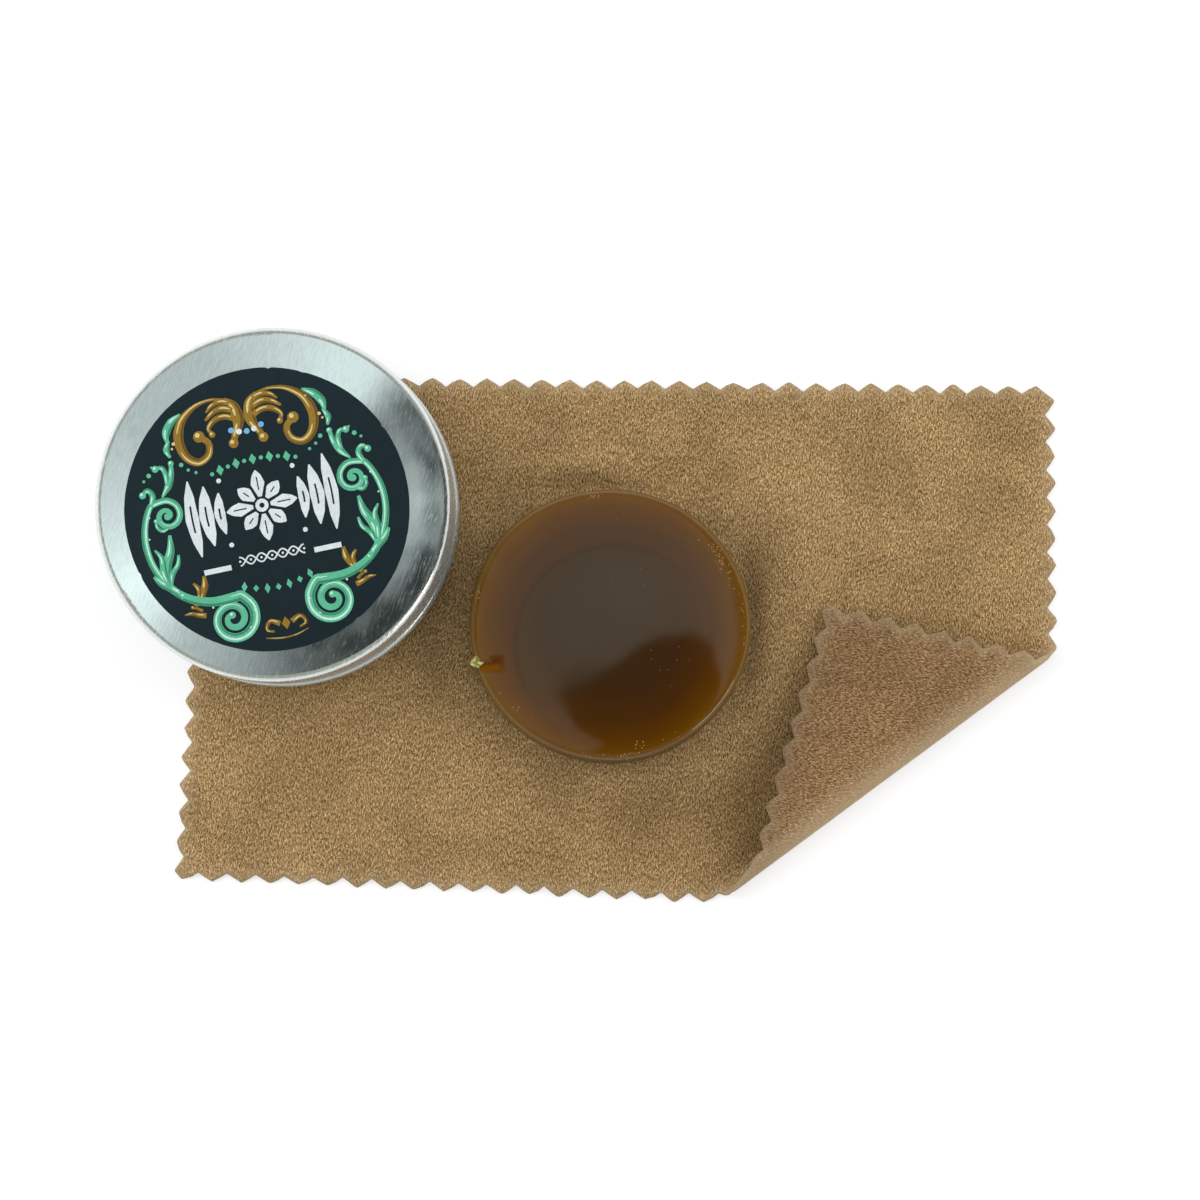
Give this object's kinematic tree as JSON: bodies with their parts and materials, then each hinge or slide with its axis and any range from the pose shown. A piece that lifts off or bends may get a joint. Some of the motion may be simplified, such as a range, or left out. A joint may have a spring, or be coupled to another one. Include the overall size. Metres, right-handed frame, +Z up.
{
  "type": "rosin cake",
  "caption": "Round translucent rosin cake lying on a pinked suede-like polishing cloth with one corner folded, beside its closed slip-lid tin with a round label.",
  "frame": {"origin": "middle of the whole set's box in plan, on the surface that the cloth lies on", "axes": "+X along the cloth's long side, towards the folded corner's side; +Y towards the cloth's back edge; +Z up"},
  "size_m": [0.169, 0.1003, 0.021],
  "materials": {
    "rosin": "glossy translucent dark amber, a little dusty at the rim",
    "tinplate": "bright tinplate with a fine straight brushed grain",
    "label": null,
    "microsuede": "tan microsuede with a short directional nap"
  },
  "bodies": {
    "cloth": {"polishing_cloth": "microsuede"},
    "cake": {"rosin_cake": "rosin"},
    "base": {"tin_base": "tinplate"},
    "lid": {"tin_lid": "tinplate", "lid_label": "label"}
  },
  "joints": [
    {"name": "cake_lift", "type": "slide", "parent": "cloth", "child": "cake", "axis": [0, 0, 1], "range_m": [0, 0.03]},
    {"name": "tin_lift", "type": "slide", "parent": "cloth", "child": "base", "axis": [0, 0, 1], "range_m": [0, 0.03]},
    {"name": "lid_lift", "type": "slide", "parent": "base", "child": "lid", "axis": [0, 0, 1], "range_m": [0, 0.03]}
  ]
}
